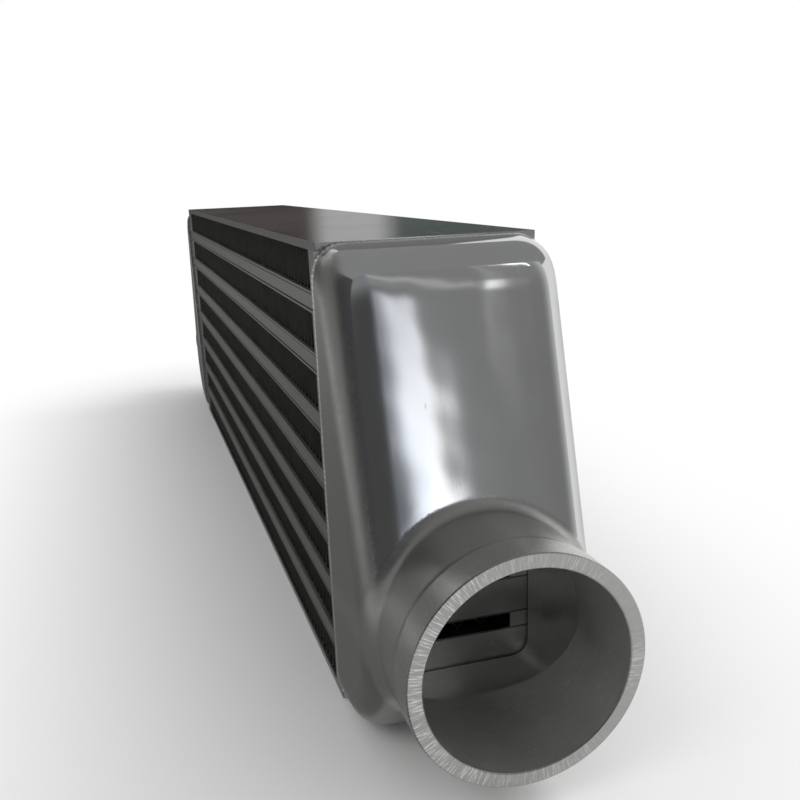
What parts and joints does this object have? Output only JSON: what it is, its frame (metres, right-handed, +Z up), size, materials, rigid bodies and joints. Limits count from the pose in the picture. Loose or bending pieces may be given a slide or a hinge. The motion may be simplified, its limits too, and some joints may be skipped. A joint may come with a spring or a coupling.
{
  "type": "intercooler",
  "caption": "Bar-and-plate intercooler: a brazed core of charge rows and folded air fins, with a cast end tank and a round hose spigot welded to each end.",
  "frame": {"origin": "centre of the core's underside, where the part stands", "axes": "+X along the core to the right-hand spigot, +Y from the front face to the rear face, +Z up"},
  "size_m": [0.55, 0.0684, 0.14],
  "materials": {
    "cast_tank": "polished casting, satin towards the core and on the spigot",
    "weld": "rippled bead, brushed on its crown",
    "side_plate": "smooth rolled plate with a dull gloss",
    "charge_bar": "extruded bar, dull from the brazing furnace",
    "end_bar": "extruded bar, dull from the brazing furnace",
    "parting_sheet": "clad sheet, dull from the brazing furnace",
    "air_fin": "thin folded strip, dull",
    "turbulator": "thin folded strip, dull"
  },
  "bodies": {
    "root": {"bottom_side_plate": "side_plate", "top_side_plate": "side_plate", "parting_sheets_1": "parting_sheet", "charge_bar_front_1": "charge_bar", "charge_bar_rear_1": "charge_bar", "turbulator_1": "turbulator", "parting_sheets_2": "parting_sheet", "charge_bar_front_2": "charge_bar", "charge_bar_rear_2": "charge_bar", "turbulator_2": "turbulator", "parting_sheets_3": "parting_sheet", "charge_bar_front_3": "charge_bar", "charge_bar_rear_3": "charge_bar", "turbulator_3": "turbulator", "parting_sheets_4": "parting_sheet", "charge_bar_front_4": "charge_bar", "charge_bar_rear_4": "charge_bar", "turbulator_4": "turbulator", "parting_sheets_5": "parting_sheet", "charge_bar_front_5": "charge_bar", "charge_bar_rear_5": "charge_bar", "turbulator_5": "turbulator", "parting_sheets_6": "parting_sheet", "charge_bar_front_6": "charge_bar", "charge_bar_rear_6": "charge_bar", "turbulator_6": "turbulator", "parting_sheets_7": "parting_sheet", "charge_bar_front_7": "charge_bar", "charge_bar_rear_7": "charge_bar", "turbulator_7": "turbulator", "end_bar_left_1": "end_bar", "end_bar_right_1": "end_bar", "air_fin_1": "air_fin", "end_bar_left_2": "end_bar", "end_bar_right_2": "end_bar", "air_fin_2": "air_fin", "end_bar_left_3": "end_bar", "end_bar_right_3": "end_bar", "air_fin_3": "air_fin", "end_bar_left_4": "end_bar", "end_bar_right_4": "end_bar", "air_fin_4": "air_fin", "end_bar_left_5": "end_bar", "end_bar_right_5": "end_bar", "air_fin_5": "air_fin", "end_bar_left_6": "end_bar", "end_bar_right_6": "end_bar", "air_fin_6": "air_fin", "end_bar_left_7": "end_bar", "end_bar_right_7": "end_bar", "air_fin_7": "air_fin", "end_bar_left_8": "end_bar", "end_bar_right_8": "end_bar", "air_fin_8": "air_fin", "end_tank_left": "cast_tank", "weld_bead_left": "weld", "end_tank_right": "cast_tank", "weld_bead_right": "weld"}
  },
  "joints": []
}
